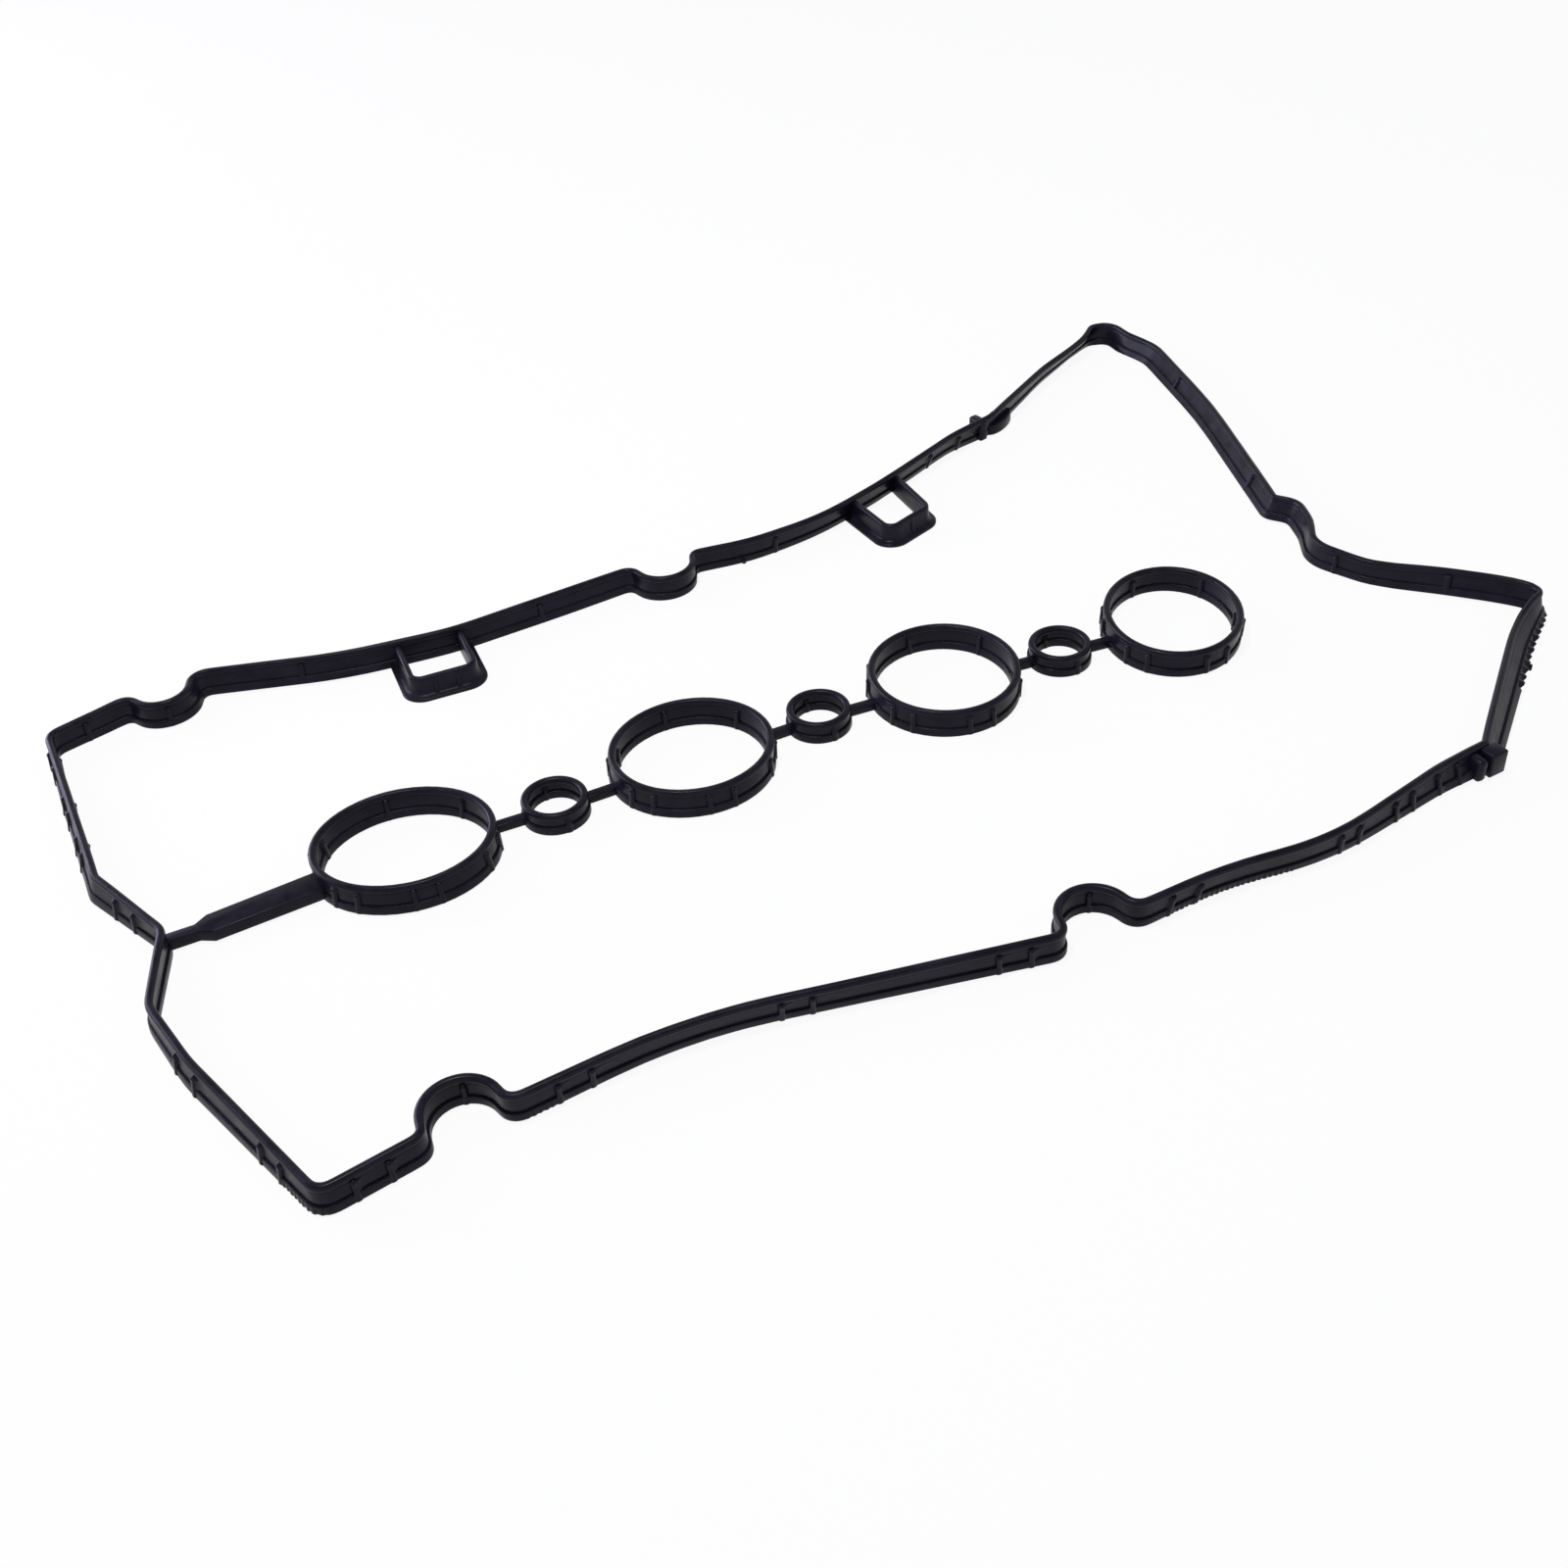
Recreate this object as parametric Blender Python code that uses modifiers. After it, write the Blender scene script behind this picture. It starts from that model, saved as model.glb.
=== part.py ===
"""Rubber gasket for the valve cover of a four cylinder engine.

One moulded ring of black rubber runs round the edge of the cover, and a row of four large and three
small rings hangs from its left end on a stem. It lies slack on a flat surface, so the outer wall bends
a little and leans inwards or outwards along its way.

Blender 4.5, metres, +Z up. The origin is the centre of the bounding box, at the bottom.
Plan positions are in millimetres, measured from the centre of the first large ring.
"""

from math import acos, atan2, ceil, cos, degrees, hypot, pi, radians, sin, sqrt

import bmesh
import bpy
import numpy as np
from mathutils import Matrix, Vector

MM = 0.001

# Outer wall: a bead on a thin web over a wider foot.
WALL_HEIGHT = 0.0090
FOOT_WIDTH = 0.0030
FOOT_HEIGHT = 0.0027
WEB_WIDTH = 0.0018
BEAD_WIDTH = 0.0024
BEAD_DROP = 0.0010
STEP_RISE = 0.0007

# Large and small rings, measured to the middle of their walls.
RING_RADIUS = 0.0234
RING_HEIGHT = 0.0088
SMALL_RING_RADIUS = 0.0089
SMALL_RING_HEIGHT = 0.0070
RING_SIDES = 28
SMALL_RING_SIDES = 16
LARGE_RINGS = ((0.1, 0), (90.4, 3.5), (176.6, 4.8), (257.8, 0.1))
SMALL_RINGS = ((45.6, 0.8), (133.0, 5.8), (217.2, 2.6))
# How far each large ring has gone oval: its length and breadth as shares of a round one's, and how many
# degrees its length is turned from the row.
OVAL = ((1.111, 0.936, -9), (1.043, 0.979, -2), (0.983, 1.030, -10), (0.915, 1.085, -26))
ROUND = (1, 1, 0)

# Bars between the rings, and the stem that carries the row.
BAR_WIDTH = 0.0026
BAR_BOTTOM = 0.0006
BAR_TOP = 0.0030
STEM_BOTTOM = 0.0004
STEM_TOP = 0.0044
STEM_BACK = ((-70.4, -5.6), (-61.6, -5.2), (-58.0, -2.6))
STEM_FRONT = ((-57.2, -10.8), (-61.2, -8.7), (-70.4, -9.2))
# Where the stem meets the first ring, as angles round it.
STEM_ANGLES = (175.6, 195.7)

# Loops under the back wall: a lower wall with a flange round its foot.
LOOP_HEIGHT = 0.0076
LOOP_WALL = 0.0023
LOOP_FLANGE = 0.0026
LOOP_FLANGE_HEIGHT = 0.0012
LOOP_RADIUS = 3.6

# Round notches for the cover's screws.
NOTCH_RADIUS = 10.2
SHOULDER_RADIUS = 4.0

# Grip ribs, which stand a little proud of the foot on both sides.
RIB_WIDTH = 0.0019
RIB_REACH = 0.0037
RIB_HEIGHT = 0.0066
RIB_BOTTOM = 0.0002
LOOP_RIB_PROUD = 0.00045

STEP = 26.0
RUBBER = (0.018, 0.016, 0.021, 1.0)

# The way of the outer wall, clockwise seen from above: x, y, bend radius and lean in degrees.
# A positive lean tips the top of the wall outwards.
CORNER, NOTCH = "corner", "notch"
ROUTE = (
    (CORNER, (-92.2, 103.2), 5, -5),
    (NOTCH, (-69.0, 110.8), (-54.4, 112.4), (-40.5, 114.2), -1, 8),
    (CORNER, (3.0, 101.4), 90, 20),
    (CORNER, (40.0, 100.9), 160, 1),
    (CORNER, (80.0, 104.7), 200, 11),
    (NOTCH, (105.5, 109.1), (118.2, 107.8), (133.0, 109.8), -1, -3),
    (CORNER, (151.0, 108.0), 60, -8),
    (CORNER, (178.0, 112.4), 110, -18),
    (CORNER, (206.0, 123.6), 250, -19),
    (CORNER, (248.0, 145.8), 50, -24),
    (CORNER, (269.0, 151.2), 16, -12),
    (CORNER, (307.0, 180.6), 100, -33),
    (CORNER, (329.5, 195.2), 80, -47),
    (CORNER, (339.0, 200.0), 30, -32),
    (CORNER, (351.8, 206.5), 7, -2),
    (CORNER, (349.9, 187.5), 12, 32),
    (CORNER, (353.6, 172.0), 20, 33),
    (CORNER, (344.5, 118.0), 300, 30),
    (CORNER, (325.0, 45.0), 4, 24),
    (CORNER, (331.0, 38.5), 5, 18),
    (CORNER, (328.0, 27.0), 16, 16),
    (CORNER, (321.5, 14.0), 12, 4),
    (CORNER, (331.0, -5.0), 24, -10),
    (CORNER, (353.0, -28.6), 60, 24),
    (CORNER, (367.0, -42.2), 5, 14),
    (CORNER, (368.8, -46.8), 4.6, -12),
    (CORNER, (361.0, -54.4), 40, -47),
    (CORNER, (348.4, -64.6), 90, -50),
    (CORNER, (301.8, -105.6), 5, -34),
    (CORNER, (280.0, -107.2), 60, -12),
    (CORNER, (234.0, -116.8), 100, 8),
    (CORNER, (202.0, -113.6), 110, 11),
    (NOTCH, (176.0, -117.0), (161.8, -115.2), (147.5, -118.6), -1, -2),
    (CORNER, (94.0, -109.6), 300, 10),
    (CORNER, (50.0, -102.4), 140, 12),
    (NOTCH, (3.2, -110.0), (-10.6, -108.4), (-24.0, -113.4), -1, -2),
    (CORNER, (-48.8, -119.4), 5, -5),
    (CORNER, (-71.8, -62.3), 60, -11),
    (CORNER, (-77.9, -37.0), 12, -5),
    (CORNER, (-70.0, -8.2), 6, 0),
    (CORNER, (-86.8, 23.0), 5, -16),
)

# The open bottom of each loop: where its two legs leave the back wall, and its two lower corners.
LOOPS = (
    ((21.6, 101.2), (21.6, 79.4), (42.8, 79.4), (42.8, 101.2)),
    ((195.8, 118.4), (199.2, 92.6), (218.2, 100.8), (217.4, 128.4)),
)

# Ribs on the outer wall, by their nearest point in plan, and on the rings, by angle.
WALL_RIBS = (
    (-80, 106), (-54, 103), (-10, 106), (72, 105), (161, 108), (235, 140), (252, 147),
    (349, 144), (331, 64), (328, 6), (349, -24), (338, -74), (320, -90),
    (287, -106), (279, -108), (268, -110), (261, -112), (246, -115), (239, -116), (192, -115),
    (183, -116), (164, -105), (141, -117), (132, -116), (82, -108), (74, -107), (22, -107),
    (13, -109), (-8, -98), (-31, -115), (-40, -117), (-55, -105), (-59, -97), (-70, -67),
    (-73, -57), (-76, 4), (-81, 12), (-89, 42), (-90, 64), (-92, 90),
)
RING_RIBS = (151, 92, 32, -36, -78, -97)
LOOP_RIBS = ((28.5, 79.4), (36.0, 79.4), (209, 97.0))

# Blocks and low pips at the joints of the mould: plan centre, length along the wall, reach across it, height.
BLOCKS = (
    ((264.4, 150.0), 0.0040, 0.0072, 0.0086),
    ((293.6, -106.6), 0.0034, 0.0060, 0.0076),
    ((299.8, -106.0), 0.0062, 0.0066, 0.0080),
    ((148.0, 108.4), 0.0014, 0.0054, 0.0016),
    ((343.0, -69.4), 0.0020, 0.0050, 0.0022),
)
# A half oval pad beside the back block, and how deep its middle line lies in the foot.
PAD = ((274.5, 155.4), 0.0170, 0.0040, 0.0042)
PAD_BITE = 0.0008


def clear_scene():
    for obj in list(bpy.data.objects):
        bpy.data.objects.remove(obj)


def new_collection(name, hidden=False):
    made = bpy.data.collections.new(name)
    bpy.context.scene.collection.children.link(made)
    made.hide_render = hidden
    return made


def wall_section(height):
    """The wall's outline, from its inner foot corner, as (across, up)."""
    foot, web, bead = FOOT_WIDTH / 2, WEB_WIDTH / 2, BEAD_WIDTH / 2
    half = [
        (foot, 0),
        (foot, FOOT_HEIGHT),
        (web, FOOT_HEIGHT + STEP_RISE),
        (bead, height - BEAD_DROP),
        (bead / 2, height),
    ]
    return half + [(-x, z) for x, z in reversed(half)]


def loop_section():
    wall = LOOP_WALL / 2
    return [
        (wall + LOOP_FLANGE, 0),
        (wall + LOOP_FLANGE, LOOP_FLANGE_HEIGHT),
        (wall, LOOP_FLANGE_HEIGHT + 2 * STEP_RISE),
        (wall * 0.9, LOOP_HEIGHT),
        (-wall * 0.9, LOOP_HEIGHT),
        (-wall, 0),
    ]


def arc(centre, radius, start, end, most_degrees=20.0):
    """Points on an arc, both ends included."""
    count = max(1, ceil(abs(degrees(end - start)) / most_degrees))
    angles = [start + (end - start) * i / count for i in range(count + 1)]
    return [centre + radius * Vector((cos(a), sin(a))) for a in angles]


def shorter(start, end):
    """The end angle moved by full turns to within half a turn of the start."""
    return start + (end - start + pi) % (2 * pi) - pi


def angle_of(vector):
    return atan2(vector.y, vector.x)


def rounded_corner(before, at, after, radius):
    """A fillet of this radius between two straight runs."""
    incoming, outgoing = (at - before).normalized(), (after - at).normalized()
    turn = acos(max(-1.0, min(1.0, incoming.dot(outgoing))))
    left = incoming.x * outgoing.y - incoming.y * outgoing.x > 0
    cut = radius * sin(turn / 2) / cos(turn / 2)
    start = at - incoming * cut
    side = Vector((-incoming.y, incoming.x)) * (1 if left else -1)
    centre = start + side * radius
    first = angle_of(start - centre)
    most = 26.0 if radius < 30 else 10.0
    return arc(centre, radius, first, first + (turn if left else -turn), most)


def shoulder(through, along, centre, bulge, last):
    """The small arc that leads from a straight run into a notch, or back out of it."""
    side = Vector((-along.y, along.x)) * bulge
    base = through + side * SHOULDER_RADIUS - centre
    reach = NOTCH_RADIUS + SHOULDER_RADIUS
    dot = base.dot(along)
    root = sqrt(dot * dot - base.dot(base) + reach * reach)
    middle = centre + base + along * (-dot + (root if last else -root))
    on_run = angle_of(-side)
    on_notch = shorter(on_run, angle_of(centre - middle))
    points = arc(middle, SHOULDER_RADIUS, on_run, on_notch, 28.0)
    return points[::-1] if last else points


def notch(before, entry, centre, leave, after, bulge):
    """A round notch of the wall: shoulder, round, shoulder."""
    incoming, outgoing = (entry - before).normalized(), (after - leave).normalized()
    first = shoulder(entry, incoming, centre, bulge, False)
    last = shoulder(leave, outgoing, centre, bulge, True)
    start, end = angle_of(first[-1] - centre), angle_of(last[0] - centre)
    middle = angle_of(Vector((-incoming.y, incoming.x)) * bulge)
    middle = shorter(start, middle)
    end = shorter(middle, end)
    return first + arc(centre, NOTCH_RADIUS, start, end)[1:-1] + last


def wall_route():
    """Points round the outer wall, with the lean at each: x and y in millimetres, lean in radians."""
    rows = [[row[0], *(Vector(p) if isinstance(p, tuple) else p for p in row[1:])] for row in ROUTE]

    def end_of(row):
        return row[3] if row[0] == NOTCH else row[1]

    points, marks, leans = [], [], []
    for i, row in enumerate(rows):
        before = end_of(rows[i - 1])
        after = rows[(i + 1) % len(rows)][1]
        if row[0] == NOTCH:
            piece = notch(before, row[1], row[2], row[3], after, row[4])
        else:
            piece = rounded_corner(before, row[1], after, row[2])
        marks.append(len(points) + (len(piece) - 1) / 2)
        leans.append(radians(row[-1]))
        points += piece

    way = []
    for i, point in enumerate(points):
        following = points[(i + 1) % len(points)]
        count = max(1, ceil((following - point).length / STEP))
        way += [(point.lerp(following, k / count), i + k / count) for k in range(count)]

    lengths = np.cumsum([0] + [(b[0] - a[0]).length for a, b in zip(way, way[1:] + way[:1])])
    places = np.interp(marks, [p for _, p in way], lengths[:-1])
    lean = np.interp(lengths[:-1], places, leans, period=lengths[-1])
    return [point for point, _ in way], lean


def curve_of(name, points, tilts, closed):
    data = bpy.data.curves.new(name, "CURVE")
    data.dimensions = "3D"
    data.twist_mode = "Z_UP"
    spline = data.splines.new("POLY")
    spline.points.add(len(points) - 1)
    for slot, point, tilt in zip(spline.points, points, tilts):
        slot.co = (*point, 1)
        slot.tilt = tilt
    spline.use_cyclic_u = closed
    return data


def swept(name, points, tilts, section, closed, tools):
    """A section carried along a path, as a mesh object."""
    outline = bpy.data.curves.new(name + "_section", "CURVE")
    outline.dimensions = "2D"
    spline = outline.splines.new("POLY")
    spline.points.add(len(section) - 1)
    for slot, (x, y) in zip(spline.points, section):
        slot.co = (x, y, 0, 1)
    spline.use_cyclic_u = True
    profile = bpy.data.objects.new(name + "_section", outline)
    tools.objects.link(profile)

    data = curve_of(name, points, tilts, closed)
    data.bevel_mode = "OBJECT"
    data.bevel_object = profile
    data.use_fill_caps = not closed
    path = bpy.data.objects.new(name + "_path", data)
    tools.objects.link(path)
    graph = bpy.context.evaluated_depsgraph_get()
    mesh = bpy.data.meshes.new_from_object(path.evaluated_get(graph))
    bpy.data.objects.remove(path)
    bpy.data.objects.remove(profile)
    return mesh_object(name, closed_up(mesh), tools)


def closed_up(mesh):
    """Welds loose caps to their sides and turns every face out."""
    shape = bmesh.new()
    shape.from_mesh(mesh)
    bmesh.ops.remove_doubles(shape, verts=shape.verts, dist=0.00001)
    bmesh.ops.recalc_face_normals(shape, faces=shape.faces)
    shape.to_mesh(mesh)
    shape.free()
    return mesh


def mesh_object(name, mesh, collection):
    obj = bpy.data.objects.new(name, mesh)
    collection.objects.link(obj)
    return obj


def outer_wall(way, lean, tools):
    points = [
        (p.x * MM, p.y * MM, FOOT_WIDTH / 2 * abs(sin(a))) for p, a in zip(way, lean)
    ]
    return swept("outer_wall", points, list(-lean), wall_section(WALL_HEIGHT), True, tools)


def ring(name, centre, radius, height, sides, tools, oval=ROUND):
    """A turned ring: the wall's section swung round the ring's axis by a Screw modifier."""
    section = [(radius + x, 0, z) for x, z in wall_section(height)]
    mesh = bpy.data.meshes.new(name)
    mesh.from_pydata(section, [(i, (i + 1) % len(section)) for i in range(len(section))], [])
    obj = mesh_object(name, mesh, tools)
    screw = obj.modifiers.new("Turn", "SCREW")
    screw.steps = screw.render_steps = sides
    screw.use_merge_vertices = True
    screw.merge_threshold = 0.00001
    graph = bpy.context.evaluated_depsgraph_get()
    turned = bpy.data.meshes.new_from_object(obj.evaluated_get(graph))
    bpy.data.objects.remove(obj)
    length, breadth, turn = oval
    place = Matrix.Translation((centre[0] * MM, centre[1] * MM, 0)) @ Matrix.Rotation(radians(turn), 4, "Z")
    turned.transform(place @ Matrix.Diagonal((length, breadth, 1, 1)))
    return mesh_object(name, closed_up(turned), tools)


def box(name, matrix, size, tools):
    """A box of this size, standing on the matrix's origin."""
    mesh = bpy.data.meshes.new(name)
    shape = bmesh.new()
    bmesh.ops.create_cube(shape, size=1.0)
    bmesh.ops.scale(shape, vec=size, verts=shape.verts)
    bmesh.ops.translate(shape, vec=(0, 0, size[2] / 2), verts=shape.verts)
    shape.to_mesh(mesh)
    shape.free()
    mesh.transform(matrix)
    return mesh_object(name, mesh, tools)


def bar(name, start, end, width, bottom, top, tools):
    """A flat bar between two plan points."""
    a, b = Vector((*start, 0)) * MM, Vector((*end, 0)) * MM
    turn = Matrix.Rotation(atan2(b.y - a.y, b.x - a.x), 4, "Z")
    place = Matrix.Translation((a + b) / 2 + Vector((0, 0, bottom))) @ turn
    return box(name, place, ((b - a).length, width, top - bottom), tools)


def plate(name, outline, bottom, top, tools):
    """A flat plate with this outline in plan: a filled curve, extruded."""
    data = bpy.data.curves.new(name, "CURVE")
    data.dimensions = "2D"
    data.fill_mode = "BOTH"
    data.extrude = (top - bottom) / 2
    spline = data.splines.new("POLY")
    spline.points.add(len(outline) - 1)
    for slot, (x, y) in zip(spline.points, outline):
        slot.co = (x * MM, y * MM, 0, 1)
    spline.use_cyclic_u = True
    path = bpy.data.objects.new(name, data)
    tools.objects.link(path)
    graph = bpy.context.evaluated_depsgraph_get()
    mesh = bpy.data.meshes.new_from_object(path.evaluated_get(graph))
    bpy.data.objects.remove(path)
    mesh.transform(Matrix.Translation((0, 0, (top + bottom) / 2)))
    return mesh_object(name, closed_up(mesh), tools)


def on_wall(at, way, lean, reach):
    """A frame on the wall nearest this plan point: Y along the wall, X outwards, Z up the wall.

    It sits as high as a shape of this reach needs to clear the floor on a leaning wall.
    """
    near = min(range(len(way)), key=lambda i: (way[i] - Vector(at)).length)
    best = None
    for i in (near - 1, near):
        a, b = way[i], way[(i + 1) % len(way)]
        share = max(0.0, min(1.0, (Vector(at) - a).dot(b - a) / (b - a).length_squared))
        point = a.lerp(b, share)
        gap = (point - Vector(at)).length
        if best is None or gap < best[0]:
            tip = lean[i] + (lean[(i + 1) % len(way)] - lean[i]) * share
            best = (gap, point, (b - a).normalized(), tip)
    _, point, along, tip = best
    rise = reach / 2 * abs(sin(tip)) + RIB_BOTTOM
    place = Matrix.Translation((point.x * MM, point.y * MM, rise))
    return place @ Matrix.Rotation(angle_of(along) + pi / 2, 4, "Z") @ Matrix.Rotation(tip, 4, "Y")


def on_ring(centre, radius, oval, angle):
    """The plan point on the middle of a ring's wall in this direction from its centre."""
    length, breadth, turn = oval
    aside = radians(angle - turn)
    reach = radius / MM / hypot(cos(aside) / length, sin(aside) / breadth)
    return Vector(centre) + reach * Vector((cos(radians(angle)), sin(radians(angle))))


def add_ribs(way, lean, tools):
    size = (RIB_REACH, RIB_WIDTH, RIB_HEIGHT)
    for i, at in enumerate(WALL_RIBS):
        box(f"wall_rib_{i}", on_wall(at, way, lean, RIB_REACH), size, tools)
    for i, (centre, oval) in enumerate(zip(LARGE_RINGS, OVAL)):
        for angle in RING_RIBS:
            turn = Matrix.Rotation(radians(angle), 4, "Z")
            out = on_ring(centre, RING_RADIUS, oval, angle)
            place = Matrix.Translation((out.x * MM, out.y * MM, RIB_BOTTOM))
            box(f"ring_rib_{i}_{angle}", place @ turn, size, tools)
    for i, (x, y) in enumerate(LOOP_RIBS):
        place = Matrix.Translation((x * MM, y * MM, RIB_BOTTOM))
        size = (RIB_WIDTH, LOOP_WALL + 2 * LOOP_RIB_PROUD, RIB_HEIGHT * 0.8)
        box(f"loop_rib_{i}", place, size, tools)


def add_loops(tools):
    section = loop_section()
    for i, (first, second, third, fourth) in enumerate(LOOPS):
        corners = [Vector(p) for p in (first, second, third, fourth)]
        points = [corners[0]]
        points += rounded_corner(corners[0], corners[1], corners[2], LOOP_RADIUS)
        points += rounded_corner(corners[1], corners[2], corners[3], LOOP_RADIUS)
        points += [corners[3]]
        path = [(p.x * MM, p.y * MM, 0) for p in points]
        swept(f"loop_{i}", path, [0.0] * len(path), section, False, tools)


def add_row(tools):
    """The rings, the bars between them and the stem."""
    for i, (centre, oval) in enumerate(zip(LARGE_RINGS, OVAL)):
        ring(f"ring_{i}", centre, RING_RADIUS, RING_HEIGHT, RING_SIDES, tools, oval)
    for i, centre in enumerate(SMALL_RINGS):
        ring(f"small_ring_{i}", centre, SMALL_RING_RADIUS, SMALL_RING_HEIGHT, SMALL_RING_SIDES, tools)
    row = [(centre, RING_RADIUS, oval) for centre, oval in zip(LARGE_RINGS, OVAL)]
    row = sorted(row + [(centre, SMALL_RING_RADIUS, ROUND) for centre in SMALL_RINGS])
    for i, (left, right) in enumerate(zip(row, row[1:])):
        towards = degrees(angle_of(Vector(right[0]) - Vector(left[0])))
        start, end = on_ring(*left, towards), on_ring(*right, towards + 180)
        bar(f"bar_{i}", start, end, BAR_WIDTH, BAR_BOTTOM, BAR_TOP, tools)
    on_first = [on_ring(LARGE_RINGS[0], RING_RADIUS, OVAL[0], angle) for angle in STEM_ANGLES]
    plate("stem", [*STEM_BACK, *on_first, *STEM_FRONT], STEM_BOTTOM, STEM_TOP, tools)


def add_blocks(way, tools):
    upright = [0.0] * len(way)
    for i, (at, length, reach, height) in enumerate(BLOCKS):
        box(f"block_{i}", on_wall(at, way, upright, reach), (reach, length, height), tools)
    at, length, reach, height = PAD
    mesh = bpy.data.meshes.new("pad")
    shape = bmesh.new()
    bmesh.ops.create_cone(shape, cap_ends=True, segments=20, radius1=0.5, radius2=0.5, depth=1)
    bmesh.ops.scale(shape, vec=(2 * reach, length, height), verts=shape.verts)
    shape.to_mesh(mesh)
    shape.free()
    inner = Matrix.Translation((PAD_BITE - FOOT_WIDTH / 2, 0, height / 2))
    mesh.transform(on_wall(at, way, upright, 0) @ inner)
    mesh_object("pad", mesh, tools)


def rubber():
    material = bpy.data.materials.new("black_rubber")
    material.use_nodes = True
    shader = material.node_tree.nodes["Principled BSDF"]
    shader.inputs["Base Color"].default_value = RUBBER
    shader.inputs["Roughness"].default_value = 0.42
    shader.inputs["Metallic"].default_value = 0.0
    return material


def main():
    clear_scene()
    part = new_collection("Valve_cover_gasket")
    tools = new_collection("Joined_shapes", hidden=True)
    way, lean = wall_route()
    wall = outer_wall(way, lean, tools)
    tools.objects.unlink(wall)
    add_loops(tools)
    add_row(tools)
    add_ribs(way, lean, tools)
    add_blocks(way, tools)

    part.objects.link(wall)
    join = wall.modifiers.new("Join", "BOOLEAN")
    join.operation = "UNION"
    join.operand_type = "COLLECTION"
    join.collection = tools
    join.solver = "EXACT"
    graph = bpy.context.evaluated_depsgraph_get()
    mesh = bpy.data.meshes.new_from_object(wall.evaluated_get(graph))
    bpy.data.objects.remove(wall)

    corners = [v.co for v in mesh.vertices]
    low = [min(c[k] for c in corners) for k in range(3)]
    high = [max(c[k] for c in corners) for k in range(3)]
    mesh.transform(Matrix.Translation((-(low[0] + high[0]) / 2, -(low[1] + high[1]) / 2, -low[2])))
    mesh.name = "gasket"
    mesh.shade_flat()
    gasket = mesh_object("gasket", mesh, part)
    mesh.materials.clear()
    mesh.materials.append(rubber())
    for shape in list(tools.objects):
        shape.hide_render = True
        shape.display_type = "WIRE"


main()
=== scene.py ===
"""Rubber gasket for the valve cover of a four cylinder engine, lying slack on a pale floor.

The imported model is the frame. Plan positions are in millimetres from the centre of the first large ring,
as in the part's source, and SHIFT brings them to the frame's origin.
"""

from cmath import phase, rect
from math import atan2, cos, degrees, pi, radians, sin, sqrt, tan

import bpy
import numpy as np
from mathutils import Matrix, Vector


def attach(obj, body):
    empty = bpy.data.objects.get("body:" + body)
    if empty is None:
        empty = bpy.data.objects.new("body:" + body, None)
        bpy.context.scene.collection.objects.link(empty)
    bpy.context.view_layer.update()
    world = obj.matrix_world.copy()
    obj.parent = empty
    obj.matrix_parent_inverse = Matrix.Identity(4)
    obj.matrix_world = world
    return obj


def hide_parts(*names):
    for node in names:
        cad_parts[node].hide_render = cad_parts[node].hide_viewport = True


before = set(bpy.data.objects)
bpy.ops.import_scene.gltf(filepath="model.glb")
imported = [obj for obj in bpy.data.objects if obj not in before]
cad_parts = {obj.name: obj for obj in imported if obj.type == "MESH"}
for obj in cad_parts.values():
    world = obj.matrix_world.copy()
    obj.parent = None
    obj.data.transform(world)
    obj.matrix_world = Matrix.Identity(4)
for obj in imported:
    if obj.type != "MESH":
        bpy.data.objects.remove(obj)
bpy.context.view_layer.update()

# Camera
# It stands near the front left corner, a third of a metre up, and looks down across the rings to the far
# corner, with the small turn to the left that the photograph has.
bpy.ops.object.select_all(action="DESELECT")
bpy.ops.object.camera_add(
    location=(-0.171546, -0.460295, 0.337938),
    rotation=(radians(51.5832), radians(3.4450), radians(-22.6204)),
)
camera = bpy.context.object
camera.name = "photo_camera"
camera.data.sensor_width = 36
camera.data.lens = 41.4685
camera.data.clip_start = 0.01
bpy.context.scene.camera = camera

# Outer wall
# The seal that runs round the cover: a round bead that fits the cover's groove, a thin web and a wider
# foot that lies on the cylinder head, moulded in black rubber. It lies slack, so it leans in and out.
# Its grip ribs are drawn out of the same skin, so the mesh is laid station by station along the way.
MM = 0.001
SHIFT = np.array([-138.204, -41.411])
WALL_HEIGHT = 9.0
FOOT_HALF = 1.5
TEETH_TOP = 1.0
NOTCH_RADIUS = 10.2
SHOULDER_RADIUS = 4.0
CORNER, NOTCH = "corner", "notch"
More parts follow.
